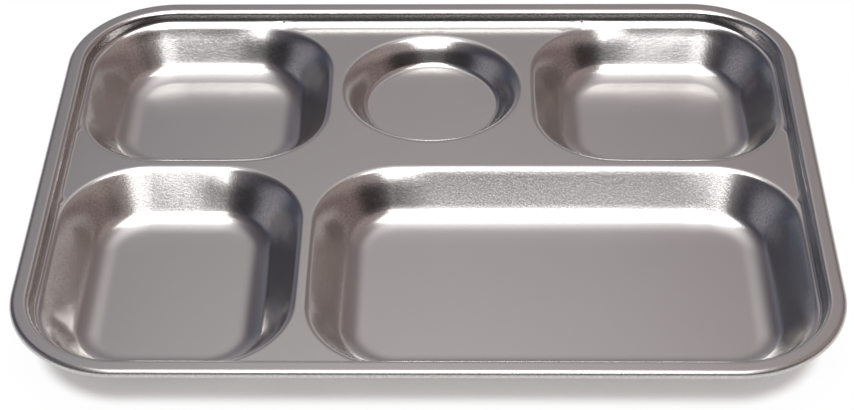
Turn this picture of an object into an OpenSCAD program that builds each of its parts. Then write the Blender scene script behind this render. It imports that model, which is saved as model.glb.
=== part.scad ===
// Five-well serving tray pressed from one sheet of stainless steel.
// X runs along the long side, Y to the far side and Z up.
// The origin is under the middle of the tray, on the plane that it stands on.

/* [Tray] */
// Outside width of the tray, over the curled rim
tray_w = 285; // [265:1:330]
// Outside depth of the tray, over the curled rim
tray_d = 215; // [205:1:245]
// Radius of the tray's four corners, at the outside of the rim
corner_r = 40; // [38:1:48]
// Thickness of the sheet
sheet_t = 0.7; // [0.5:0.1:0.8]

/* [Rim] */
// Radius of the edge that is curled under the rim
curl_r = 1.6; // [1.4:0.1:1.7]
// Width of the level band between the curl and the step
band_w = 2.8; // [2.4:0.1:3.2]
// Rounding between the level band and the step
band_edge_r = 2.6; // [2.2:0.1:2.8]

/* [Deck] */
// Straight part of the step from the rim to the deck, measured down its slope
step_wall = 1.2; // [1:0.1:2]
// Rounding between the foot of the step and the deck
step_foot_r = 1.4; // [1.2:0.1:1.8]
// Level strip between the step and the mouths of the outer wells
margin_w = 0.2; // [0.2:0.1:1]
// Level strip along the ridges between two wells
ridge_w = 2; // [1:0.5:4]

/* [Deep wells] */
// Depth of the four deep wells below the deck
well_h = 16.3; // [15:0.1:18]
// Depth of the back row, front to back at the mouth
back_row_d = 90; // [80:0.5:100]
// Width of the front left well at its mouth
front_left_w = 89; // [80:0.5:110]
// Rounding of the mouths
mouth_r = 3.2; // [2.6:0.1:3.6]
// Tight bend at the foot of the wall
wall_foot_r = 7; // [5:0.5:8]
// Wide sweep between the foot of the wall and the floor
floor_sweep_r = 16; // [14:0.5:18]

/* [Round well] */
// Radius of the round well at its mouth
round_mouth_r = 35.5; // [34:0.5:36.5]
// Strip of deck between the round well and the back wells on either side of it
round_side_gap = 2.7; // [2.2:0.1:5]
// Strip of deck between the round well and the line of the back wells' far side
round_far_gap = 7.7; // [6:0.1:9]
// Depth of the round well below the deck
round_h = 8.4; // [8.2:0.1:9]
// Rounding of the mouth
round_lip_r = 3.5; // [3:0.1:4]
// Swell of the wall, which bulges a little into the well
round_wall_r = 12; // [11:0.5:13]
// Bend between the wall and the floor
round_foot_r = 4.5; // [4:0.1:5]

/* [Hidden] */
$fn = 64;

steel = "#9c9793";

// Slopes as rise over run, and in degrees from level
step_rise_share = 24 / 7;
wall_rise_share = 4 / 3;
sweep_rise_share = 3 / 4;
step_slope = atan(step_rise_share);
wall_slope = atan(wall_rise_share);
sweep_slope = atan(sweep_rise_share);

// Directions round an arc, in degrees
due_up = 90;
due_down = 270;
curl_turn = 270;
wedge_step = 45;

// Step between the rim and the deck, as run and drop
step_flat_drop = step_wall * sin(step_slope);
step_flat_run = step_wall * cos(step_slope);
step_h = (band_edge_r + step_foot_r) * (1 - cos(step_slope)) + step_flat_drop;
step_run = (band_edge_r + step_foot_r) * sin(step_slope) + step_flat_run;

// Heights above the plane that the tray stands on
floor_z = sheet_t;
deck_z = floor_z + well_h;
rim_z = deck_z + step_h;

// Distance from the outside of the rim to the start of each part
band_in = curl_r;
step_in = band_in + band_w;
deck_in = step_in + step_run;
well_in = deck_in + margin_w;

// Wall of a deep well, as run and drop of its straight part
wall_round_drop = mouth_r * (1 - cos(wall_slope))
    + wall_foot_r * (cos(sweep_slope) - cos(wall_slope))
    + floor_sweep_r * (1 - cos(sweep_slope));
wall_flat_drop = well_h - wall_round_drop;
wall_flat_run = wall_flat_drop / tan(wall_slope);
wall_run = mouth_r * sin(wall_slope)
    + wall_flat_run
    + wall_foot_r * (sin(wall_slope) - sin(sweep_slope))
    + floor_sweep_r * sin(sweep_slope);

// Wall of the round well, as run and drop of its straight part
round_round_drop = round_lip_r * (1 - cos(sweep_slope))
    + round_wall_r * (cos(sweep_slope) - cos(wall_slope))
    + round_foot_r * (1 - cos(wall_slope));
round_flat_drop = round_h - round_round_drop;
round_flat_run = round_flat_drop / tan(wall_slope);
round_run = round_lip_r * sin(sweep_slope)
    + round_wall_r * (sin(wall_slope) - sin(sweep_slope))
    + round_flat_run
    + round_foot_r * sin(wall_slope);

// Mouths of the wells
mouth_corner_r = corner_r - well_in;
wells_w = tray_w - 2 * well_in;
wells_d = tray_d - 2 * well_in;
back_well_w = wells_w / 2 - round_mouth_r - round_side_gap;
front_row_d = wells_d - back_row_d - ridge_w;
front_right_w = wells_w - front_left_w - ridge_w;
back_x = (wells_w - back_well_w) / 2;
back_y = (wells_d - back_row_d) / 2;
front_y = (front_row_d - wells_d) / 2;
front_left_x = (front_left_w - wells_w) / 2;
front_right_x = (wells_w - front_right_w) / 2;
round_y = wells_d / 2 - round_far_gap - round_mouth_r;

// Each deep well as [middle x, middle y, width, depth]
DEEP_WELLS = [
    [-back_x, back_y, back_well_w, back_row_d],
    [back_x, back_y, back_well_w, back_row_d],
    [front_left_x, front_y, front_left_w, front_row_d],
    [front_right_x, front_y, front_right_w, front_row_d]
];

// Outline with four round corners, about the origin
module round_rect(w, d, r) {
    square([w - 2 * r, d], center = true);
    square([w, d - 2 * r], center = true);
    for (x = [-1, 1], y = [-1, 1])
        translate([x * (w / 2 - r), y * (d / 2 - r)])
            circle(r);
}

// Piece of a ring from direction a to direction b: the sheet bent to a radius
module bend(r_in, r_out, a, b) {
    steps = ceil((b - a) / wedge_step);
    intersection() {
        difference() {
            circle(r_out);
            circle(r_in);
        }
        polygon(concat(
            [[0, 0]],
            [for (i = [0:steps]) let (t = a + (b - a) * i / steps) 2 * r_out * [cos(t), sin(t)]]
        ));
    }
}

// Bend that rolls over an edge, from one slope to a steeper one; its top face
// has radius r and passes through p at the first slope
module roll_over(p, r, slope_a, slope_b) {
    translate(p - r * [sin(slope_a), cos(slope_a)])
        bend(r - sheet_t, r, due_up - slope_b, due_up - slope_a);
}

// Bend that eases out at a foot, from one slope to a gentler one; its top face
// has radius r and passes through p at the first slope
module ease_out(p, r, slope_a, slope_b) {
    translate(p + r * [sin(slope_a), cos(slope_a)])
        bend(r, r + sheet_t, due_down - slope_a, due_down - slope_b);
}

// Straight stretch of sheet down a slope, from p, with the given run and drop
module ramp(p, run, drop, slope) {
    under = -sheet_t * [sin(slope), cos(slope)];
    polygon([p, p + [run, -drop], p + [run, -drop] + under, p + under]);
}

// Section of the rim: curled edge, level band and step, from the outside in
module rim_section() {
    top = [step_in, 0];
    brow = top + band_edge_r * [sin(step_slope), cos(step_slope) - 1];
    foot = brow + [step_flat_run, -step_flat_drop];
    translate([curl_r, -curl_r])
        bend(curl_r - sheet_t, curl_r, due_up, due_up + curl_turn);
    translate([band_in, -sheet_t])
        square([band_w, sheet_t]);
    roll_over(top, band_edge_r, 0, step_slope);
    ramp(brow, step_flat_run, step_flat_drop, step_slope);
    ease_out(foot, step_foot_r, step_slope, 0);
}

// Section of the wall of a deep well, from its mouth to its floor
module wall_section() {
    brow = mouth_r * [sin(wall_slope), cos(wall_slope) - 1];
    foot = brow + [wall_flat_run, -wall_flat_drop];
    sweep = foot + wall_foot_r
        * [sin(wall_slope) - sin(sweep_slope), cos(wall_slope) - cos(sweep_slope)];
    roll_over([0, 0], mouth_r, 0, wall_slope);
    ramp(brow, wall_flat_run, wall_flat_drop, wall_slope);
    ease_out(foot, wall_foot_r, wall_slope, sweep_slope);
    ease_out(sweep, floor_sweep_r, sweep_slope, 0);
}

// Section of the wall of the round well, from its mouth to its floor
module round_wall_section() {
    lip = round_lip_r * [sin(sweep_slope), cos(sweep_slope) - 1];
    brow = lip + round_wall_r
        * [sin(wall_slope) - sin(sweep_slope), cos(wall_slope) - cos(sweep_slope)];
    foot = brow + [round_flat_run, -round_flat_drop];
    roll_over([0, 0], round_lip_r, 0, sweep_slope);
    roll_over(lip, round_wall_r, sweep_slope, wall_slope);
    ramp(brow, round_flat_run, round_flat_drop, wall_slope);
    ease_out(foot, round_foot_r, wall_slope, 0);
}

// Carries a section round an outline with round corners; the section's x is
// the distance in from the outline, and its y is the height
module carry_round(w, d, r) {
    for (x = [-1, 1], y = [-1, 1])
        mirror([x < 0 ? 1 : 0, 0, 0])
            mirror([0, y < 0 ? 1 : 0, 0])
                translate([w / 2 - r, d / 2 - r, 0])
                    rotate_extrude(angle = 90)
                        translate([r, 0])
                            mirror([1, 0])
                                children();
    for (side = [-1, 1]) {
        mirror([side < 0 ? 1 : 0, 0, 0])
            translate([w / 2, d / 2 - r, 0])
                rotate([90, 0, 0])
                    linear_extrude(d - 2 * r)
                        mirror([1, 0])
                            children();
        mirror([0, side < 0 ? 1 : 0, 0])
            translate([r - w / 2, d / 2, 0])
                rotate([90, 0, 90])
                    linear_extrude(w - 2 * r)
                        mirror([1, 0])
                            children();
    }
}

// Deck with an opening over each well
module deck() {
    translate([0, 0, deck_z - sheet_t])
        linear_extrude(sheet_t)
            difference() {
                round_rect(tray_w - 2 * deck_in, tray_d - 2 * deck_in, corner_r - deck_in);
                for (well = DEEP_WELLS)
                    translate([well.x, well.y])
                        round_rect(well[2], well[3], mouth_corner_r);
                translate([0, round_y])
                    circle(round_mouth_r);
            }
}

// Wall and floor of one deep well
module deep_well(w, d) {
    translate([0, 0, deck_z])
        carry_round(w, d, mouth_corner_r)
            wall_section();
    linear_extrude(sheet_t)
        round_rect(w - 2 * wall_run, d - 2 * wall_run, mouth_corner_r - wall_run);
}

// Wall and floor of the round well
module round_well() {
    translate([0, 0, deck_z])
        rotate_extrude()
            translate([round_mouth_r, 0])
                mirror([1, 0])
                    round_wall_section();
    translate([0, 0, deck_z - round_h - sheet_t])
        linear_extrude(sheet_t)
            circle(round_mouth_r - round_run);
}

// The whole pressing
module tray() {
    color(steel)
        union() {
            translate([0, 0, rim_z])
                carry_round(tray_w, tray_d, corner_r)
                    rim_section();
            deck();
            for (well = DEEP_WELLS)
                translate([well.x, well.y, 0])
                    deep_well(well[2], well[3]);
            translate([0, round_y, 0])
                round_well();
        }
}

tray();
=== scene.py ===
import math

import bpy
import numpy as np
from bpy.props import FloatProperty, FloatVectorProperty, PointerProperty
from mathutils import Euler, Matrix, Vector
from mathutils.geometry import delaunay_2d_cdt


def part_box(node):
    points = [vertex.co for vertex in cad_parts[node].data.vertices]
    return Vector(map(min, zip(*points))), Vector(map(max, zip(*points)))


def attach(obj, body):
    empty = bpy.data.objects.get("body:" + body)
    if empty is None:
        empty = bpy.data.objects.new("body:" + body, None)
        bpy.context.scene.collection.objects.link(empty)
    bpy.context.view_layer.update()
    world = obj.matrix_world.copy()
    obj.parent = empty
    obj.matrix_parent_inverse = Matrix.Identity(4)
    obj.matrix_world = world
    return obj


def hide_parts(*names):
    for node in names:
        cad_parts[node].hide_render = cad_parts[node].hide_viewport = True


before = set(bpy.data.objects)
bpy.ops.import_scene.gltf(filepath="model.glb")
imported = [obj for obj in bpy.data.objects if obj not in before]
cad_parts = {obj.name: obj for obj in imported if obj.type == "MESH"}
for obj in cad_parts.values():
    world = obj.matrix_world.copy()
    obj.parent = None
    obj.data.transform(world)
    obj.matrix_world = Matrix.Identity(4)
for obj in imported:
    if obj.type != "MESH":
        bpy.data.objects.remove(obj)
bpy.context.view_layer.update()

bl_info = {
    "name": "Divided Compartment Plate",
    "version": (1, 0, 0),
    "blender": (4, 5, 0),
    "location": "View3D > Sidebar > Plate",
    "description": "Dresses a five-well serving tray pressed from one sheet of stainless steel",
    "category": "Object",
}

MM = 0.001
NODE = "tray"
LOW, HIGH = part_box(NODE)
STEEPEST = math.radians(89.0)


def length(name, description, default, low=0.0, high=500.0):
    """A length, given in millimetres and kept in metres."""
    return FloatProperty(
        name=name, description=description, default=default * MM, min=low * MM, max=high * MM,
        precision=5, unit="LENGTH",
    )


def slope(name, description, default):
    """A slope measured from level, given in degrees and kept in radians."""
    return FloatProperty(
        name=name, description=description, default=math.radians(default), min=0.0, max=STEEPEST,
        subtype="ANGLE",
    )


def fraction(name, description, default):
    """A plain number from 0 to 1."""
    return FloatProperty(
        name=name, description=description, default=default, min=0.0, max=1.0, subtype="FACTOR",
    )


def strength(name, description, default):
    """A plain number from 0 to 10."""
    return FloatProperty(name=name, description=description, default=default, min=0.0, max=10.0)


def tint(name, description, default):
    """A colour, as shares of red, green and blue light."""
    return FloatVectorProperty(
        name=name, description=description, default=default, min=0.0, max=1.0, subtype="COLOR",
    )


class TraySizes(bpy.types.PropertyGroup):
    """Sizes of the pressed sheet"""

    width: length("Width", "Outside width over the curled rim", (HIGH.x - LOW.x) / MM)
    depth: length("Depth", "Outside depth over the curled rim", (HIGH.y - LOW.y) / MM)
    height: length("Height", "From the undersides of the wells to the rim", (HIGH.z - LOW.z) / MM)
    sheet: length("Sheet", "Thickness of the sheet", 0.7, 0.3, 2.0)
    corner: length("Corner", "Radius of the outline's four corners", 40.0, 10.0, 80.0)
    curl: length("Curl", "Radius of the edge that is curled under", 1.6, 1.0, 4.0)
    band: length("Band", "Width of the level band behind the curl", 3.2, 1.0, 10.0)
    band_edge: length("Band edge", "Rounding between the band and the step", 2.1, 1.0, 5.0)
    step: length("Step", "Drop from the rim to the deck", 5.4, 2.0, 10.0)
    step_slope: slope("Step slope", "Steepest slope of the step", 71.5)
    step_ease: slope("Step ease", "Slope of the step above its foot", 62.0)
    side_slope: slope("Side slope", "Steepest slope of the step at the ends and near side", 79.0)
    side_ease: slope("Side ease", "Slope there above the step's foot", 74.0)
    step_foot: length("Step foot", "Tight bend at the foot of the step", 1.4, 0.8, 4.0)
    apron: length("Apron", "Run of the gentle slope between the step and the deck", 1.4, 0.0, 6.0)
    apron_slope: slope("Apron slope", "Slope of the gentle part", 25)
    apron_foot: length("Apron foot", "Bend between the gentle part and the deck", 4.0, 1.0, 20.0)
    margin: length("Margin", "From the outside of the rim to the mouths of the wells", 8.1, 4.0, 20.0)
    ridge: length("Ridge", "Strip between the mouths of two wells", 2.0, 0.5, 10.0)
    back_row: length("Back row", "Depth of the back row of wells at the mouth", 89.1, 60.0, 120.0)
    front_left: length("Front left", "Width of the front left well at the mouth", 89.7, 60.0, 130.0)
    well: length("Well", "Depth of the deep wells below the deck", 14.9, 8.0, 40.0)
    mouth: length("Mouth", "Rounding of the deep wells' mouths", 3.1, 1.0, 8.0)
    back_left_wall: slope("Back left wall", "Slope of the back left far wall below the mouth", 50.9)
    back_left_foot: slope("Back left foot", "Slope of the back left far wall above the foot", 51.6)
    back_right_wall: slope("Back right wall", "Slope of the back right far wall below the mouth", 49.3)
    back_right_foot: slope("Back right foot", "Slope of the back right far wall above the foot", 50.5)
    front_left_wall: slope("Front left wall", "Slope of the front left far wall below the mouth", 46.9)
    front_left_foot: slope("Front left foot", "Slope of the front left far wall above the foot", 46.5)
    front_right_wall: slope("Front right wall", "Slope of the front right far wall below the mouth", 50.4)
    front_right_foot: slope("Front right foot", "Slope of the front right far wall above the foot", 48.5)
    end_wall: slope("End wall", "Slope of the deep wells' other walls below the mouth", 49.4)
    end_foot: slope("End foot", "Slope of the deep wells' other walls above the foot", 50.0)
    wall_foot: length("Wall foot", "Tight bend at the foot of the walls", 7.4, 2.0, 12.0)
    floor_slope: slope("Floor slope", "Slope at which the sweep to the floor starts", 23.0)
    floor_sweep: length("Floor sweep", "Wide bend between the wall and the floor", 18.0, 4.0, 25.0)
    corner_lip: length("Corner lip", "Rounding of the mouths at the corners", 4.0, 1.0, 8.0)
    corner_ease: slope("Corner ease", "How much gentler than the wall a corner starts", 10.0)
    corner_swell: slope("Corner swell", "How much steeper than the wall a corner ends", 4.5)
    back_outer: slope("Back outer", "Steepest slope of the back wells' far outer corners", 50.2)
    front_outer: slope("Front outer", "Steepest slope of the front wells' far outer corners", 47.1)
    corner_reach: length("Corner reach", "Run of a corner's swell into a straight wall", 9.0, 5.0, 40.0)
    round_mouth: length("Round mouth", "Radius of the round well at its mouth", 35.4, 20.0, 40.0)
    round_side: length("Round side", "Strip between the round well and the back wells", 2.7, 0.5, 10.0)
    round_far: length("Round far", "From the round well to the line of the back wells", 6.6, 1.0, 20.0)
    round_well: length("Round well", "Depth of the round well below the deck", 9.0, 4.0, 15.0)
    round_lip: length("Round lip", "Rounding of the round well's mouth", 4.5, 1.0, 8.0)
    round_swell: length("Round swell", "Swell of the round well's wall", 13.5, 5.0, 20.0)
    round_foot: length("Round foot", "Bend between the round wall and its floor", 3.0, 1.0, 8.0)
    round_lip_slope: slope("Round lip slope", "Slope at which the swell starts", 34.0)
    round_slope: slope("Round slope", "Steepest slope of the round wall", 57.0)


class SteelFinish(bpy.types.PropertyGroup):
    """Finish of the steel"""

    colour: tint("Steel", "Colour of the bare steel", (0.60, 0.585, 0.57))
    tone_range: fraction("Tone range", "How far the colour shifts to darker and lighter", 0.15)
    grain: length("Grain", "Size of the finest grain", 0.7, 0.05, 3.0)
    grain_tone: strength("Grain tone", "How much the grain shifts the colour", 3.2)
    grain_roughness: fraction("Grain roughness", "How much the grain shifts the roughness", 0.06)
    grain_relief: length("Grain relief", "Height of the grain", 0.036, 0.0, 0.5)
    flat_grain: fraction("Flat grain", "Share of the grain that is left where the sheet is flat", 0.1)
    cloud: length("Cloud", "Size of the broad shifts of tone and roughness", 45.45, 5.0, 200.0)
    cloud_tone: fraction("Cloud tone", "How much the clouds shift the colour", 0.1)
    cloud_roughness: fraction("Cloud roughness", "How much the clouds shift the roughness", 0.05)
    roughness: fraction("Roughness", "Roughness of the satin finish", 0.2)
    stretch_roughness: fraction("Stretch roughness", "Further roughness of stretched sheet", 0.02)
    edge_roughness: fraction("Edge roughness", "Further roughness on the curled edge", 0.16)


class StudioLight(bpy.types.PropertyGroup):
    """Floor and lights"""

    floor_colour: tint("Floor", "Colour of the floor", (0.9, 0.89, 0.885))
    shadow_colour: tint("Shadow", "Colour of the light that lifts the shadow", (1.0, 0.97, 0.95))
    shadow_lift: fraction("Shadow lift", "How much the shadow on the floor is lifted", 0.26)
    shadow_start: length("Shadow start", "How far under the tray its shadow starts", 5.0, -50.0, 50.0)
    shadow_end: length("Shadow end", "How far under the tray its shadow is full", 12.0, -50.0, 50.0)
    floor_white: fraction("Floor white", "Share of plain white in the floor round the tray", 0.96)
    box_height: length("Softbox height", "Height of the softbox over the floor", 1200.0, 300.0, 5000.0)
    box_width: length("Softbox width", "Width of the softbox", 600.0, 100.0, 5000.0)
    box_far: length("Softbox far end", "How far the softbox reaches past the tray", 280.0, 0.0, 5000.0)
    box_near: length("Softbox near end", "How far it reaches over the camera", 940.0, 0.0, 5000.0)
    box_level: strength("Softbox level", "Radiance of the softbox", 4.5)
    right_low: tint("Right, low", "Room on the right, near the floor", (0.24, 0.18, 0.178))
    right_high: tint("Right, high", "Room on the right, higher up", (0.42, 0.34, 0.33))
    right_far: tint("Right, far", "Room on the right, past the tray", (0.50, 0.44, 0.43))
    left_low: tint("Left, low", "Room on the left, near the floor", (0.30, 0.295, 0.335))
    left_high: tint("Left, high", "Room on the left, higher up", (0.036, 0.038, 0.062))
    left_far: tint("Left, far", "Room on the left, past the tray", (0.08, 0.088, 0.13))
    ceiling: tint("Ceiling", "Colour of the light from above", (0.98, 0.99, 1.0))


# Shape of the sheet

# Change of slope, in radians, below which a bend counts as a ramp
SAME_SLOPE = 1e-3
# Half the distance over which a slope of the sheet is measured
SLOPE_REACH = 0.002 * MM


def smooth(part):
    """Smoothstep: 3t^2 - 2t^3 of a share t, kept between 0 and 1."""
    part = np.clip(part, 0.0, 1.0)
    return part * part * (3.0 - 2.0 * part)


def inset(x, y, box, radius):
    """Distance in from an outline with round corners: the radius less the distance past the
    corner's centre, or the distance to the nearest side where a point isn't past it. The box is
    the middle x and y and the half width and depth."""
    past_x = np.abs(x - box[0]) - (box[2] - radius)
    past_y = np.abs(y - box[1]) - (box[3] - radius)
    corner = np.hypot(np.maximum(past_x, 0.0), np.maximum(past_y, 0.0))
    return radius - corner - np.minimum(np.maximum(past_x, past_y), 0.0)


def bend_sizes(radius, start, end):
    """Run and drop of an arc between two slopes: radius times the change of sine and cosine."""
    run = radius * abs(math.sin(end) - math.sin(start))
    return run, radius * abs(math.cos(end) - math.cos(start))


def drop_along(run, bends):
    """Drop of a sheet's top face after a run across its bends. A bend (radius, start, end) is an
    arc between two slopes, which rolls over where it gets steeper and eases out where it gets
    gentler: the sine of the slope changes by run over radius, and the drop is the radius times
    the change of cosine. A straight ramp is (None, slope, run) and drops run times tangent."""
    total = np.zeros_like(run)
    begin = 0.0
    for radius, start, end in bends:
        if radius is None:
            width = end
            part = np.clip(run - begin, 0.0, width)
            total = total + part * math.tan(start)
        else:
            width = bend_sizes(radius, start, end)[0]
            part = np.clip(run - begin, 0.0, width)
            turn = 1.0 if end > start else -1.0
            sine = math.sin(start) + turn * part / radius
            cosine = np.sqrt(np.maximum(1.0 - sine * sine, 0.0))
            total = total + turn * radius * (math.cos(start) - cosine)
        begin += width
    return total


def total_run(bends):
    """Run of a whole section: the sum of the runs of its bends and ramps."""
    return sum(end if radius is None else bend_sizes(radius, start, end)[0]
               for radius, start, end in bends)


def drop_left(depth, arcs):
    """What the arcs have left of a depth."""
    return depth - sum(bend_sizes(*arc)[1] for arc in arcs)


def straight_run(depth, slope_there, arcs):
    """Run of the straight ramp that takes up what the arcs have left of a depth: that drop over
    the tangent of its slope."""
    return max(drop_left(depth, arcs), 0.0) / math.tan(slope_there)


def wide_bend(depth, start, end, arcs):
    """The bend between two slopes, or the ramp where they are the same, that takes up what the
    arcs have left of a depth: its radius is that drop over the change of cosine."""
    if abs(end - start) < SAME_SLOPE:
        return None, start, straight_run(depth, start, arcs)
    return drop_left(depth, arcs) / bend_sizes(1.0, start, end)[1], start, end


def side_step_bends(sizes):
    """Bends from the level band down to the deck at the tray's ends and near side: a steep step
    with one tight bend at its foot."""
    edge = (sizes.band_edge, 0.0, sizes.side_slope)
    foot = (sizes.step_foot, sizes.side_ease, 0.0)
    face = wide_bend(sizes.step, sizes.side_slope, sizes.side_ease, (edge, foot))
    return edge, face, foot


def far_step_bends(sizes):
    """Bends from the level band down to the deck at the tray's far side, where the step's foot
    eases out into a short gentle slope, the apron."""
    edge = (sizes.band_edge, 0.0, sizes.step_slope)
    foot = (sizes.step_foot, sizes.step_ease, sizes.apron_slope)
    last = (sizes.apron_foot, sizes.apron_slope, 0.0)
    depth = sizes.step - sizes.apron * math.tan(sizes.apron_slope)
    face = wide_bend(depth, sizes.step_slope, sizes.step_ease, (edge, foot, last))
    return edge, face, foot, (None, sizes.apron_slope, sizes.apron), last


def well_bends(sizes, wall):
    """Bends from the mouth of a deep well down to its floor, with a very wide bend as its wall."""
    mouth = (sizes.mouth, 0.0, wall[0])
    foot = (sizes.wall_foot, wall[1], sizes.floor_slope)
    sweep = (sizes.floor_sweep, sizes.floor_slope, 0.0)
    return mouth, wide_bend(sizes.well, *wall, (mouth, foot, sweep)), foot, sweep


def corner_bends(sizes, wall):
    """Bends down a deep well's corner, which swells into the well: the swell's radius is the one
    that brings the wall to the floor after the same run as the straight wall."""
    lip_slope = wall[0] - sizes.corner_ease
    steep = wall[1] + sizes.corner_swell
    lip = (sizes.corner_lip, 0.0, lip_slope)
    foot = (sizes.wall_foot, steep, sizes.floor_slope)
    sweep = (sizes.floor_sweep, sizes.floor_slope, 0.0)
    run_left = total_run(well_bends(sizes, wall)) - total_run((lip, foot, sweep))
    fall_left = drop_left(sizes.well, (lip, foot, sweep))
    run, drop = bend_sizes(1.0, lip_slope, steep)
    fall = math.tan(steep)
    radius = (run_left - fall_left / fall) / (run - drop / fall)
    ramp = (fall_left - radius * drop) / fall
    return lip, (radius, lip_slope, steep), (None, steep, ramp), foot, sweep


def round_bends(sizes):
    """Bends from the mouth of the round well down to its floor."""
    lip = (sizes.round_lip, 0.0, sizes.round_lip_slope)
    swell = (sizes.round_swell, sizes.round_lip_slope, sizes.round_slope)
    foot = (sizes.round_foot, sizes.round_slope, 0.0)
    ramp = straight_run(sizes.round_well, sizes.round_slope, (lip, swell, foot))
    return lip, swell, (None, sizes.round_slope, ramp), foot


def tray_box(sizes):
    """The tray's outline, as middle x, middle y, half width and half depth."""
    return 0.0, 0.0, sizes.width / 2, sizes.depth / 2


def mouth_boxes(sizes):
    """Mouths of the four deep wells, each as middle x, middle y, half width and half depth."""
    half_w = sizes.width / 2 - sizes.margin
    half_d = sizes.depth / 2 - sizes.margin
    back_w = half_w - sizes.round_mouth - sizes.round_side
    front_d = 2 * half_d - sizes.back_row - sizes.ridge
    right_w = 2 * half_w - sizes.front_left - sizes.ridge
    back_y = half_d - sizes.back_row / 2
    front_y = front_d / 2 - half_d
    return {
        "back_left": (back_w / 2 - half_w, back_y, back_w / 2, sizes.back_row / 2),
        "back_right": (half_w - back_w / 2, back_y, back_w / 2, sizes.back_row / 2),
        "front_left": (sizes.front_left / 2 - half_w, front_y, sizes.front_left / 2, front_d / 2),
        "front_right": (half_w - right_w / 2, front_y, right_w / 2, front_d / 2),
    }


def round_middle(sizes):
    """Middle of the round well along the tray's depth."""
    return sizes.depth / 2 - sizes.margin - sizes.round_far - sizes.round_mouth


def wall_slopes(sizes, well):
    """Slopes of a deep well's walls, each below the mouth and above the foot: at its ends and near
    side, at its far side, and in its far outer corner, where its row has a steepest slope."""
    wall, foot = getattr(sizes, well + "_wall"), getattr(sizes, well + "_foot")
    outer = getattr(sizes, well.split("_")[0] + "_outer")
    return (sizes.end_wall, sizes.end_foot), (wall, foot), (min(wall, outer), min(foot, outer))


def corner_share(x, y, box, radius, reach):
    """How much of a deep well's wall is the corners' swell: the product of one share along x and
    one along y, each rising smoothly from 0 to 1 over the reach before the corner's centre."""
    past_x = np.abs(x - box[0]) - (box[2] - radius - reach)
    past_y = np.abs(y - box[1]) - (box[3] - radius - reach)
    return smooth(past_x / reach) * smooth(past_y / reach)


def far_share(x, y, box, radius):
    """How much a point belongs to an outline's far side and not to its ends or its near side:
    rises where the distance past the corner's centre along y overtakes the one along x."""
    past_x = np.abs(x - box[0]) - (box[2] - radius)
    past_y = y - box[1] - (box[3] - radius)
    return smooth(0.5 + (past_y - past_x) / radius)


def outer_share(x, box, radius, reach):
    """How much a point belongs to the end of a well that faces the tray's end: rises smoothly
    from 0 to 1 over the reach before the corner's centre."""
    outwards = (x - box[0]) * math.copysign(1.0, box[0])
    return smooth((outwards - (box[2] - radius - reach)) / reach)


def sheet_height(x, y, sizes):
    """Height of the sheet's top face: the rim's height less the drops of the step and of each
    well, each worked out from the distance in from its own outline. The step's drop is mixed
    from its far and its side section, and a well's from its three slopes and its corners."""
    rim = tray_box(sizes)
    run = inset(x, y, rim, sizes.corner) - sizes.curl - sizes.band
    side_step = drop_along(run, side_step_bends(sizes))
    far_step = drop_along(run, far_step_bends(sizes))
    z = sizes.height - side_step - far_share(x, y, rim, sizes.corner) * (far_step - side_step)
    radius = sizes.corner - sizes.margin
    for well, box in mouth_boxes(sizes).items():
        run = inset(x, y, box, radius)
        far = far_share(x, y, box, radius)
        outer = far * outer_share(x, box, radius, sizes.corner_reach)
        swell = corner_share(x, y, box, radius, sizes.corner_reach) * (1.0 - outer)
        for share, wall in zip((1.0 - far, far - outer, outer), wall_slopes(sizes, well)):
            straight = drop_along(run, well_bends(sizes, wall))
            bulged = drop_along(run, corner_bends(sizes, wall))
            z = z - share * (straight + swell * (bulged - straight))
    in_from_round = sizes.round_mouth - np.hypot(x, y - round_middle(sizes))
    return z - drop_along(in_from_round, round_bends(sizes))


def sheet_normal(x, y, sizes):
    """Unit normal of the top face: minus its rise along x, minus its rise along y and the
    distance over which both are measured, brought to length 1."""
    rise_x = sheet_height(x + SLOPE_REACH, y, sizes) - sheet_height(x - SLOPE_REACH, y, sizes)
    rise_y = sheet_height(x, y + SLOPE_REACH, sizes) - sheet_height(x, y - SLOPE_REACH, sizes)
    normal = np.stack([-rise_x, -rise_y, np.full_like(rise_x, 2 * SLOPE_REACH)], axis=-1)
    return normal / np.linalg.norm(normal, axis=-1, keepdims=True)


# Paths and rings

# Cuts round a quarter turn of the outlines, round the curl and round the round well
CORNER_STEPS = 30
CURL_STEPS = 36
ROUND_STEPS = 144
# Widest steps along the outlines, round a bend, and across walls, band, step and deck
SIDE_PITCH = 5.0 * MM
TURN_STEP = math.radians(4.5)
WALL_PITCH = 1.2 * MM
BAND_PITCH = 0.7 * MM
STEP_PITCH = 0.4 * MM
DECK_PITCH = 4.0 * MM
# Strip of the deck that is made with the rim and with each well
LIP = 0.5 * MM
# Rows of points on the deck, measured in from the margin, and the gap between them and its grid
DECK_ROWS = np.array([-0.2, 0.1, 0.4, 0.7, 1.0, 1.4, 1.9, 2.6, 3.6, 5.0, 7.0, 10.0]) * MM
GRID_GAP = 2.0 * MM
# Gap between the deck's inner points and its edges, and the slack for its triangles
EDGE_GAP = 0.2 * MM
EDGE_SLACK = 0.01 * MM
# Rings of a floor, as shares of the outline at the foot of its wall
FLOOR_SHARES = np.array([1.0, 0.98, 0.95, 0.9, 0.82, 0.7, 0.55, 0.4, 0.26, 0.13])
# Shortest ramp, narrowest ring, nearest two points and the smallest triangle's double area
SHORTEST_RAMP = 0.01 * MM
NARROWEST_RING = 0.05 * MM
NEAREST = 0.02 * MM
SMALLEST = 1e-4 * MM * MM
# Distance, in millimetres, at which the deck's triangulation takes two points for one
SAME_SPOT = 1e-5


def between(start, end, pitch):
    """Evenly spaced stations from start to end, no further apart than the pitch."""
    return np.linspace(start, end, max(math.ceil(abs(end - start) / pitch), 1) + 1)


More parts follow.
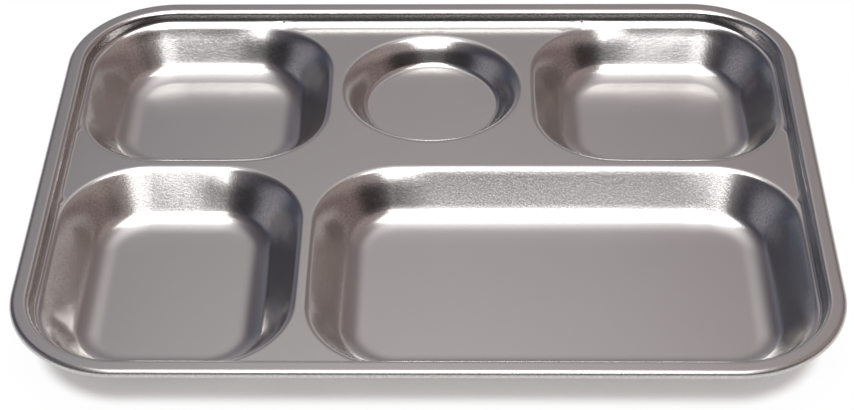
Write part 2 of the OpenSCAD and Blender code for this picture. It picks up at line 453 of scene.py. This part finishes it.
def outline_path(box, radius, front, right, back, left):
    """Path round an outline with round corners, seen anticlockwise from above. Each station has
    a centre and a direction out of it, and lies at centre + radius * direction. The four sides
    are given by their stations between the corners' centres, in rising order."""
    x, y, half_w, half_d = box
    cx, cy = half_w - radius, half_d - radius
    centres, ways = [], []

    def side(xs, ys, way):
        """Stations along a side, which all face one way."""
        centres.append(np.stack(np.broadcast_arrays(xs, ys), axis=-1))
        ways.append(np.tile(np.array(way, float), (len(centres[-1]), 1)))

    def corner(sx, sy, start):
        """Stations of a quarter turn about a corner's centre."""
        turn = np.radians(start + np.linspace(0.0, 90.0, CORNER_STEPS + 1))
        centres.append(np.tile((x + sx * cx, y + sy * cy), (len(turn), 1)))
        ways.append(np.stack([np.cos(turn), np.sin(turn)], axis=-1))

    side(np.full(len(right), x + cx), right, (1, 0))
    corner(1, 1, 0)
    side(back[::-1], np.full(len(back), y + cy), (0, 1))
    corner(-1, 1, 90)
    side(np.full(len(left), x - cx), left[::-1], (-1, 0))
    corner(-1, -1, 180)
    side(front, np.full(len(front), y - cy), (0, -1))
    corner(1, -1, 270)
    return np.concatenate(centres), np.concatenate(ways)


def carried(path, radius, insets):
    """Points of a path carried inwards: one ring for each inset, at
    centre + (radius - inset) * direction."""
    centres, ways = path
    reach = radius - np.asarray(insets)[:, None, None]
    return centres[None] + reach * ways[None]


def bend_stations(bends, pitch):
    """Runs at which a section is cut, no further apart than the pitch: radius times the change
    of sine at even turns round its bends, and even steps down its ramps."""
    runs = [np.zeros(1)]
    begin = 0.0
    for radius, start, end in bends:
        if radius is None:
            if end > SHORTEST_RAMP:
                runs.append(begin + between(0.0, end, pitch)[1:])
                begin += end
            continue
        width = bend_sizes(radius, start, end)[0]
        count = max(math.ceil(abs(end - start) / TURN_STEP), math.ceil(width / pitch), 2)
        sines = np.sin(np.linspace(start, end, count + 1))
        runs.append(begin + radius * np.abs(sines - sines[0])[1:])
        begin += width
    return np.concatenate(runs)


class Shell:
    """Collects the points and faces of the sheet's top side."""

    def __init__(self):
        self.points = []
        self.normals = []
        self.faces = []
        self.count = 0

    def add(self, points, normals):
        """Adds loose points and returns the number of the first one."""
        points = points.reshape(-1, 3)
        first = self.count
        self.points.append(points)
        self.normals.append(normals.reshape(-1, 3))
        self.count += len(points)
        return first

    def rings(self, points, normals):
        """Quads between rings of equal length, each ring closed on itself."""
        rows, cols = points.shape[:2]
        ids = self.add(points, normals) + np.arange(rows * cols).reshape(rows, cols)
        after = np.roll(ids, -1, axis=1)
        quads = np.stack([ids[:-1], after[:-1], after[1:], ids[1:]], axis=-1)
        self.faces.append(quads.reshape(-1, 4))
        return ids

    def pole(self, ring, point, normal):
        """Triangles from a ring to one point."""
        middle = self.add(np.asarray(point, float), np.asarray(normal, float))
        after = np.roll(ring, -1)
        self.faces.append(np.stack([ring, after, np.full(len(ring), middle)], axis=-1))


def well_path(box, radius):
    """Path round a deep well's mouth."""
    xs = between(box[0] - box[2] + radius, box[0] + box[2] - radius, SIDE_PITCH)[1:-1]
    ys = between(box[1] - box[3] + radius, box[1] + box[3] - radius, SIDE_PITCH)[1:-1]
    return outline_path(box, radius, xs, ys, xs, ys)


def rim_path(sizes, boxes):
    """Path round the rim, cut where the wells beside it are cut, so that their points meet."""
    radius = sizes.corner - sizes.margin

    def shared(near, far, axis):
        """Stations beside two wells: their corners' centres and even steps between them, all but
        the first and the last."""
        ends = []
        for box in (near, far):
            half = box[2 + axis] - radius
            ends += [box[axis] - half, box[axis] + half]
        stretches = [between(a, b, SIDE_PITCH)[1:] for a, b in zip(ends, ends[1:])]
        return np.concatenate(stretches)[:-1]

    front = shared(boxes["front_left"], boxes["front_right"], 0)
    back = shared(boxes["back_left"], boxes["back_right"], 0)
    left = shared(boxes["front_left"], boxes["back_left"], 1)
    right = shared(boxes["front_right"], boxes["back_right"], 1)
    return outline_path(tray_box(sizes), sizes.corner, front, right, back, left)


def on_sheet(flat, sizes):
    """Points and normals of the top face over points of the plan."""
    x, y = flat[..., 0], flat[..., 1]
    return np.stack([x, y, sheet_height(x, y, sizes)], axis=-1), sheet_normal(x, y, sizes)


def add_rim(shell, sizes, path):
    """Curl, band and step: the curl is a circle's arc carried round the outline, from the
    sheet's edge inside it, under and round the outside, up to the band."""
    turn = np.radians(np.linspace(360.0, 90.0, CURL_STEPS + 1))
    flat = carried(path, sizes.corner, sizes.curl + sizes.curl * np.cos(turn))
    z = sizes.height - sizes.curl + sizes.curl * np.sin(turn)
    curl = np.concatenate([flat, np.broadcast_to(z[:, None, None], flat.shape[:2] + (1,))], axis=-1)
    out = -np.cos(turn)[:, None, None] * path[1][None]
    up = np.broadcast_to(np.sin(turn)[:, None, None], flat.shape[:2] + (1,))
    curl_normals = np.concatenate([out, up], axis=-1)

    band = sizes.curl + between(0.0, sizes.band, BAND_PITCH)[1:]
    cuts = sizes.curl + sizes.band + bend_stations(far_step_bends(sizes), STEP_PITCH)[1:]
    end = sizes.margin - LIP
    insets = np.concatenate([band, cuts[cuts < end - NARROWEST_RING], [end]])
    points, normals = on_sheet(carried(path, sizes.corner, insets), sizes)
    ids = shell.rings(np.concatenate([curl, points]), np.concatenate([curl_normals, normals]))
    return ids[0], ids[-1]


def add_floor(shell, sizes, ring, middle):
    """Floor of a well: the ring at its wall's foot drawn in towards the middle, at
    middle + (ring - middle) * share, and a pole."""
    flat = middle + (ring - middle)[None] * FLOOR_SHARES[:, None, None]
    points, normals = on_sheet(flat, sizes)
    ids = shell.rings(points, normals)
    point, normal = on_sheet(middle[None], sizes)
    shell.pole(ids[-1], point, normal)


def add_well(shell, sizes, box, wall):
    """One deep well: its wall carried round the mouth, then its floor. It is cut where the
    gentlest of its walls, the longest, is cut."""
    radius = sizes.corner - sizes.margin
    path = well_path(box, radius)
    runs = bend_stations(well_bends(sizes, wall), WALL_PITCH)
    flat = carried(path, radius, np.concatenate([[-LIP], runs]))
    points, normals = on_sheet(flat, sizes)
    ids = shell.rings(points, normals)
    add_floor(shell, sizes, flat[-1], np.array(box[:2]))
    return ids[0]


def add_round_well(shell, sizes):
    """The round well: its wall turned about its middle, at middle + radius * direction, then its
    floor."""
    middle = np.array((0.0, round_middle(sizes)))
    turn = np.linspace(0.0, 2 * math.pi, ROUND_STEPS + 1)[:-1]
    path = np.tile(middle, (len(turn), 1)), np.stack([np.cos(turn), np.sin(turn)], axis=-1)
    runs = bend_stations(round_bends(sizes), WALL_PITCH)
    flat = carried(path, sizes.round_mouth, np.concatenate([[-LIP], runs]))
    points, normals = on_sheet(flat, sizes)
    ids = shell.rings(points, normals)
    add_floor(shell, sizes, flat[-1], middle)
    return ids[0]


def clear_of_mouths(x, y, sizes, gap):
    """True where a point of the plan lies on the deck, at least the gap in from its edges, which
    lie a lip's width outside each mouth and inside the margin."""
    clear = inset(x, y, tray_box(sizes), sizes.corner) > sizes.margin - LIP + gap
    for box in mouth_boxes(sizes).values():
        clear &= inset(x, y, box, sizes.corner - sizes.margin) < -LIP - gap
    return clear & (np.hypot(x, y - round_middle(sizes)) > sizes.round_mouth + LIP + gap)


def add_deck(shell, sizes, path, edges):
    """Deck between the wells: Delaunay triangles between the edges of the rim and the mouths,
    over rows of points that follow the rim and a grid inside them."""
    points = np.concatenate(shell.points)
    loops = [points[ring][:, :2] for ring in edges]
    lines, first = [], 0
    for loop in loops:
        ids = first + np.arange(len(loop))
        lines.append(np.stack([ids, np.roll(ids, -1)], axis=-1))
        first += len(loop)
    depths = sizes.margin + DECK_ROWS
    rows = carried(path, sizes.corner, depths).reshape(-1, 2)
    xs = between(-sizes.width / 2, sizes.width / 2, DECK_PITCH)
    ys = between(-sizes.depth / 2, sizes.depth / 2, DECK_PITCH)
    grid = np.stack(np.meshgrid(xs, ys), axis=-1).reshape(-1, 2)
    in_from_rim = inset(grid[:, 0], grid[:, 1], tray_box(sizes), sizes.corner)
    inner = np.concatenate([rows, grid[in_from_rim > depths[-1] + GRID_GAP]])
    inner = inner[clear_of_mouths(inner[:, 0], inner[:, 1], sizes, EDGE_GAP)]
    flat = np.concatenate(loops + [inner]) / MM
    made = delaunay_2d_cdt(flat.tolist(), np.concatenate(lines).tolist(), [], 0, SAME_SPOT)
    where = np.array(made[0]) * MM
    triangles = np.array(made[2])
    corners = where[triangles]
    middle = corners.mean(axis=1)
    one, other = corners[:, 1] - corners[:, 0], corners[:, 2] - corners[:, 0]
    area = one[:, 0] * other[:, 1] - one[:, 1] * other[:, 0]
    keep = clear_of_mouths(middle[:, 0], middle[:, 1], sizes, -EDGE_SLACK) & (np.abs(area) > SMALLEST)
    triangles = np.where((area < 0)[:, None], triangles[:, ::-1], triangles)[keep]
    spots, normals = on_sheet(where, sizes)
    shell.faces.append(triangles + shell.add(spots, normals))


def merged(points, normals, faces):
    """Joins points at the same place and drops triangles that fold to nothing. Returns the
    points, normals and faces, and each old point's new number."""
    keys = np.round(points / NEAREST).astype(np.int64)
    _, first, new_ids = np.unique(keys, axis=0, return_index=True, return_inverse=True)
    new_ids = new_ids.reshape(-1)
    joined = []
    for block in faces:
        block = new_ids[block]
        if block.shape[1] == 3:
            block = block[(block != np.roll(block, -1, axis=1)).all(axis=1)]
        joined.append(block)
    return points[first], normals[first], joined, new_ids


def make_mesh(name, points, faces):
    """Puts whole arrays of points and of three- and four-cornered faces into a mesh."""
    mesh = bpy.data.meshes.new(name)
    loops = np.concatenate([block.reshape(-1) for block in faces])
    totals = np.concatenate([np.full(len(block), block.shape[1]) for block in faces])
    starts = np.concatenate([[0], np.cumsum(totals)[:-1]])
    mesh.vertices.add(len(points))
    mesh.vertices.foreach_set("co", points.reshape(-1).astype(np.float32))
    mesh.loops.add(len(loops))
    mesh.loops.foreach_set("vertex_index", loops.astype(np.int32))
    mesh.polygons.add(len(totals))
    mesh.polygons.foreach_set("loop_start", starts.astype(np.int32))
    mesh.polygons.foreach_set("use_smooth", np.ones(len(totals), bool))
    mesh.update(calc_edges=True)
    mesh.validate()
    return mesh


def build_tray(sizes):
    """The whole sheet: its top side, the same points a sheet's thickness below along their
    normals as its underside, and the cut edge inside the curl that joins them."""
    shell = Shell()
    boxes = mouth_boxes(sizes)
    path = rim_path(sizes, boxes)
    inner_edge, deck_edge = add_rim(shell, sizes, path)
    edges = [deck_edge]
    for well, box in boxes.items():
        edges.append(add_well(shell, sizes, box, min(wall_slopes(sizes, well))))
    edges.append(add_round_well(shell, sizes))
    add_deck(shell, sizes, path, edges)
    points, normals = np.concatenate(shell.points), np.concatenate(shell.normals)
    top, normals, faces, new_ids = merged(points, normals, shell.faces)
    under = top - sizes.sheet * normals
    count = len(top)
    edge = new_ids[inner_edge]
    after = np.roll(edge, -1)
    cut_edge = np.stack([edge, edge + count, after + count, after], axis=-1)
    blocks = faces + [block[:, ::-1] + count for block in faces] + [cut_edge]
    mesh = make_mesh("tray_sheet", np.concatenate([top, under]), blocks)
    return mesh, normals


def add_layer(mesh, name, values):
    """Gives each point of a mesh a number, which its material reads."""
    layer = mesh.attributes.new(name, "FLOAT", "POINT")
    layer.data.foreach_set("value", values.astype(np.float32))


# Materials

class Socket:
    """A shader socket. The signs + - * **, abs, larger and smaller add Math nodes."""

    def __init__(self, tree, output):
        self.tree = tree
        self.output = output

    def _math(self, operation, a, b=0.0):
        return self.tree.node("ShaderNodeMath", {"operation": operation}, {0: a, 1: b})

    def __add__(self, other):
        return self._math("ADD", self, other)

    __radd__ = __add__

    def __sub__(self, other):
        return self._math("SUBTRACT", self, other)

    def __rsub__(self, other):
        return self._math("SUBTRACT", other, self)

    def __mul__(self, other):
        return self._math("MULTIPLY", self, other)

    __rmul__ = __mul__

    def __pow__(self, other):
        return self._math("POWER", self, other)

    def __abs__(self):
        return self._math("ABSOLUTE", self)

    def larger(self, other):
        return self._math("MAXIMUM", self, other)

    def smaller(self, other):
        return self._math("MINIMUM", self, other)


class NodeTree:
    """Makes nodes by type, settings and the values or links of their sockets."""

    def __init__(self, owner):
        owner.use_nodes = True
        self.nodes = owner.node_tree.nodes
        self.links = owner.node_tree.links
        self.nodes.clear()

    def node(self, kind, settings=None, inputs=None, output=0):
        """Makes one node and returns its output, or a tuple of them where a tuple is asked for."""
        made = self.nodes.new(kind)
        for key, value in (settings or {}).items():
            setattr(made, key, value)
        for key, value in (inputs or {}).items():
            if isinstance(value, Socket):
                self.links.new(value.output, made.inputs[key])
            else:
                made.inputs[key].default_value = value
        if isinstance(output, tuple):
            return tuple(Socket(self, made.outputs[name]) for name in output)
        return Socket(self, made.outputs[output]) if len(made.outputs) else None

    def mix(self, factor, first, second):
        """Mixes two colours."""
        inputs = {"Factor": factor, "A": first, "B": second}
        return self.node("ShaderNodeMix", {"data_type": "RGBA"}, inputs, "Result")

    def ramp(self, value, start, end, low=0.0, high=1.0):
        """Rises or falls smoothly from one level to another while a value passes a range."""
        inputs = {"Value": value, "From Min": start, "From Max": end, "To Min": low, "To Max": high}
        return self.node("ShaderNodeMapRange", {"interpolation_type": "SMOOTHSTEP"}, inputs)

    def noise(self, place, size, detail, roughness):
        """Noise whose coarsest lumps have the given size."""
        inputs = {"Vector": place, "Scale": 1.0 / size, "Detail": detail, "Roughness": roughness}
        return self.node("ShaderNodeTexNoise", {}, inputs)

    def attribute(self, name):
        """A number that the mesh carries at each of its points."""
        return self.node("ShaderNodeAttribute", {"attribute_name": name}, output="Fac")


def rgba(colour, level=1.0):
    """A colour at a level, none of it over 1, with the fourth number that a socket wants."""
    return tuple(min(level * part, 1.0) for part in colour) + (1.0,)


def satin_steel(finish):
    """Satin stainless steel: a grain that shows where the sheet is stretched, broad shifts of
    tone and roughness, and a rougher curled edge."""
    material = bpy.data.materials.new("satin_steel")
    tree = NodeTree(material)
    place = tree.node("ShaderNodeTexCoord", output="Object")
    fine = tree.noise(place, finish.grain, detail=3.0, roughness=0.6)
    cloud = tree.noise(place, finish.cloud, detail=2.0, roughness=0.5) - 0.5
    stretch = tree.attribute("stretch")
    grain = (fine - 0.5) * (stretch * (1.0 - finish.flat_grain) + finish.flat_grain)
    dark = rgba(finish.colour, 1.0 - finish.tone_range)
    light = rgba(finish.colour, 1.0 + finish.tone_range)
    tone = tree.mix(cloud * finish.cloud_tone + 0.5 + grain * finish.grain_tone, dark, light)
    rough = cloud * finish.cloud_roughness + grain * finish.grain_roughness + finish.roughness
    rough += stretch * finish.stretch_roughness + tree.attribute("edge") * finish.edge_roughness
    bump = tree.node("ShaderNodeBump", {}, {"Distance": finish.grain_relief, "Height": grain})
    inputs = {"Base Color": tone, "Metallic": 1.0, "Roughness": rough, "Normal": bump}
    shader = tree.node("ShaderNodeBsdfPrincipled", {}, inputs)
    tree.node("ShaderNodeOutputMaterial", {}, {"Surface": shader})
    return material


def floor_material(light, sizes):
    """Pale floor: plain diffuse under the tray, where the shadow lies, and for the rays that see
    it white further out. The distance in from the tray's outline, the same as inset's, tells
    them apart."""
    material = bpy.data.materials.new("pale_floor")
    tree = NodeTree(material)
    place = tree.node("ShaderNodeTexCoord", output="Object")
    x, y = tree.node("ShaderNodeSeparateXYZ", {}, {0: place}, output=("X", "Y"))
    past_x = abs(x) - (sizes.width / 2 - sizes.corner)
    past_y = abs(y) - (sizes.depth / 2 - sizes.corner)
    corner = (past_x.larger(0.0) ** 2.0 + past_y.larger(0.0) ** 2.0) ** 0.5
    inside = sizes.corner - corner - past_x.larger(past_y).smaller(0.0)
    rays = "Is Camera Ray", "Is Glossy Ray", "Is Transmission Ray"
    camera, glossy, passed = tree.node("ShaderNodeLightPath", output=rays)
    seen = camera + glossy + passed
    diffuse = tree.node("ShaderNodeBsdfDiffuse", {}, {"Color": rgba(light.floor_colour)})
    lift = {"Color": rgba(light.shadow_colour), "Strength": seen * light.shadow_lift}
    glow = tree.node("ShaderNodeEmission", {}, lift)
    shaded = tree.node("ShaderNodeAddShader", {}, {0: diffuse, 1: glow})
    white = tree.node("ShaderNodeEmission", {}, {"Color": rgba((1.0, 1.0, 1.0)), "Strength": 1.0})
    outside = tree.ramp(inside, light.shadow_end, light.shadow_start, 0.0, light.floor_white)
    both = tree.node("ShaderNodeMixShader", {}, {0: seen * outside, 1: shaded, 2: white})
    tree.node("ShaderNodeOutputMaterial", {}, {"Surface": both})
    return material


def room_light(tree, light):
    """Room round the stage, by direction. Across, along and up are the parts of a unit vector: to
    the right, away from the camera and upwards. The room's two sides are mixed by the way
    across, change past the tray and with height, and are dim behind the camera but for the top.
    A ceiling over the far side brightens towards the top, and behind the camera a pale strip
    stands over the floor and a brighter one higher up."""
    way = tree.node("ShaderNodeTexCoord", output="Generated")
    across, along, up = tree.node("ShaderNodeSeparateXYZ", {}, {0: way}, ("X", "Y", "Z"))

    # The two sides
    past_tray = tree.ramp(along, 0.1, 0.5)
    low_right = tree.ramp(across, 0.15, 0.35) * tree.ramp(up, 0.2, 0.36, 1.0, 0.0)
    high_right = tree.ramp(up, 0.45, 0.7)
    high_left = tree.ramp(up, 0.45, 0.75)
    right = tree.mix(past_tray * low_right, rgba(light.right_low), rgba(light.right_far))
    right = tree.mix(high_right, right, rgba(light.right_high))
    left = tree.mix(past_tray, rgba(light.left_low), rgba(light.left_far))
    left = tree.mix(high_left, left, rgba(light.left_high))
    rightwards = across * 0.7 + 0.5
    side = tree.mix(rightwards, left, right)
    beside = tree.ramp(along, -0.5, -0.15, 0.1).larger(tree.ramp(up, 0.56, 0.74))
    room = tree.node("ShaderNodeBackground", {}, {"Color": side, "Strength": beside})

    # The ceiling, which is wide and dim low down, and narrow and bright near the top
    ahead = tree.ramp(along, -0.3, 0.1)
    off_middle = across + 0.035
    narrows = tree.ramp(up, 0.45, 0.6, 2.0, 13.0)
    width = (1.0 - off_middle ** 2.0 * narrows).larger(0.0)
    low_ahead = tree.ramp(up, 0.25, 0.5, 0.24, 0.0)
    level = up ** 4.0 * 1.6 + 0.06 + low_ahead

    # The strip behind the camera, brightest a little to either side of the middle
    behind = tree.ramp(along, -0.6, -0.4, 1.0, 0.0)
    aside = abs(across)
    strip = tree.ramp(aside, 0.14, 0.34, 1.0, 0.0) * tree.ramp(aside, 0.06, 0.13, 0.95, 1.55)
    over_floor = tree.ramp(up, 0.06, 0.2, 0.35, 0.0)
    higher = tree.ramp(up, 0.45, 0.66, 0.0, 0.28) + tree.ramp(up, 0.69, 0.76, 0.0, 0.6)
    glow = ahead * width * level + behind * strip * (higher + over_floor)
    ceiling = tree.node("ShaderNodeBackground", {}, {"Color": rgba(light.ceiling), "Strength": glow})
    both = tree.node("ShaderNodeAddShader", {}, {0: room, 1: ceiling})
    tree.node("ShaderNodeOutputWorld", {}, {"Surface": both})


# Operators

# Lean of the sheet, as 1 less its normal's height, at which it counts as fully stretched
FULL_STRETCH = 0.4
# Half the floor's width, in metres
FLOOR_HALF = 4.0
# The photograph's camera: its place in metres, its turns about x, y and z in degrees, its lens
# and its sensor in millimetres
CAMERA_PLACE = 0.012821, -0.599538, 0.498268
CAMERA_TURNS = 50.46739, 0.63090, 0.81131
CAMERA_LENS = 88.353
CAMERA_SENSOR = 36.0


class PLATE_OT_press_sheet(bpy.types.Operator):
    """Build the pressed sheet with its curled rim, step, deck and wells"""

    bl_idname = "plate.press_sheet"
    bl_label = "Pressed sheet"

    def execute(self, context):
        sizes = context.scene.plate_sizes
        mesh, normals = build_tray(sizes)
        stretch = np.clip(1.0 - normals[:, 2], 0.0, FULL_STRETCH) / FULL_STRETCH
        add_layer(mesh, "stretch", np.concatenate([stretch, stretch]))
        spots = np.empty(len(mesh.vertices) * 3, np.float32)
        mesh.vertices.foreach_get("co", spots)
        x, y, _ = spots.reshape(-1, 3).T
        in_from_rim = inset(x, y, tray_box(sizes), sizes.corner)
        add_layer(mesh, "edge", 1.0 - smooth(in_from_rim / sizes.curl))
        tray = bpy.data.objects.new("tray_sheet", mesh)
        context.scene.collection.objects.link(tray)
        mesh.materials.append(satin_steel(context.scene.plate_finish))
        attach(tray, "root")
        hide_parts(NODE)
        return {"FINISHED"}


class PLATE_OT_set_stage(bpy.types.Operator):
    """Lay the floor and set the lights and the camera"""

    bl_idname = "plate.set_stage"
    bl_label = "Floor, lights and camera"

    def execute(self, context):
        scene = context.scene
        light = scene.plate_light
        scene.view_settings.view_transform = "Standard"
        mesh = bpy.data.meshes.new("floor")
        signs = (-1, -1), (1, -1), (1, 1), (-1, 1)
        mesh.from_pydata([(x * FLOOR_HALF, y * FLOOR_HALF, 0.0) for x, y in signs], [], [(0, 1, 2, 3)])
        floor = bpy.data.objects.new("floor", mesh)
        scene.collection.objects.link(floor)
        mesh.materials.append(floor_material(light, scene.plate_sizes))

        world = bpy.data.worlds.new("studio")
        scene.world = world
        room_light(NodeTree(world), light)

        # The lamp's power is its radiance times pi times its area
        lamp = bpy.data.lights.new("softbox", "AREA")
        lamp.shape = "RECTANGLE"
        lamp.size, lamp.size_y = light.box_width, light.box_near + light.box_far
        lamp.energy = light.box_level * math.pi * lamp.size * lamp.size_y
        box = bpy.data.objects.new("softbox", lamp)
        box.location = (0.0, (light.box_far - light.box_near) / 2, light.box_height)
        scene.collection.objects.link(box)

        camera_data = bpy.data.cameras.new("camera")
        camera_data.sensor_width = CAMERA_SENSOR
        camera_data.lens = CAMERA_LENS
        camera = bpy.data.objects.new("camera", camera_data)
        turned = Euler([math.radians(turn) for turn in CAMERA_TURNS]).to_matrix().to_4x4()
        camera.matrix_world = Matrix.Translation(CAMERA_PLACE) @ turned
        scene.collection.objects.link(camera)
        scene.camera = camera
        return {"FINISHED"}


class PLATE_PT_panel(bpy.types.Panel):
    """The plate's pieces and sizes"""

    bl_idname = "PLATE_PT_panel"
    bl_label = "Divided plate"
    bl_space_type = "VIEW_3D"
    bl_region_type = "UI"
    bl_category = "Plate"

    def draw(self, context):
        column = self.layout.column()
        for step in STEPS:
            column.operator(step.bl_idname, text=step.bl_label)
        for group in (context.scene.plate_sizes, context.scene.plate_finish, context.scene.plate_light):
            box = self.layout.box()
            for name in group.__annotations__:
                box.prop(group, name)


STEPS = (PLATE_OT_press_sheet, PLATE_OT_set_stage)
CLASSES = (TraySizes, SteelFinish, StudioLight) + STEPS + (PLATE_PT_panel,)


def register():
    for cls in CLASSES:
        bpy.utils.register_class(cls)
    bpy.types.Scene.plate_sizes = PointerProperty(type=TraySizes)
    bpy.types.Scene.plate_finish = PointerProperty(type=SteelFinish)
    bpy.types.Scene.plate_light = PointerProperty(type=StudioLight)


def unregister():
    del bpy.types.Scene.plate_light
    del bpy.types.Scene.plate_finish
    del bpy.types.Scene.plate_sizes
    for cls in reversed(CLASSES):
        bpy.utils.unregister_class(cls)


def main():
    """Registers the classes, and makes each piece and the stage."""
    register()
    bpy.ops.plate.press_sheet()
    bpy.ops.plate.set_stage()


if __name__ == "__main__":
    main()
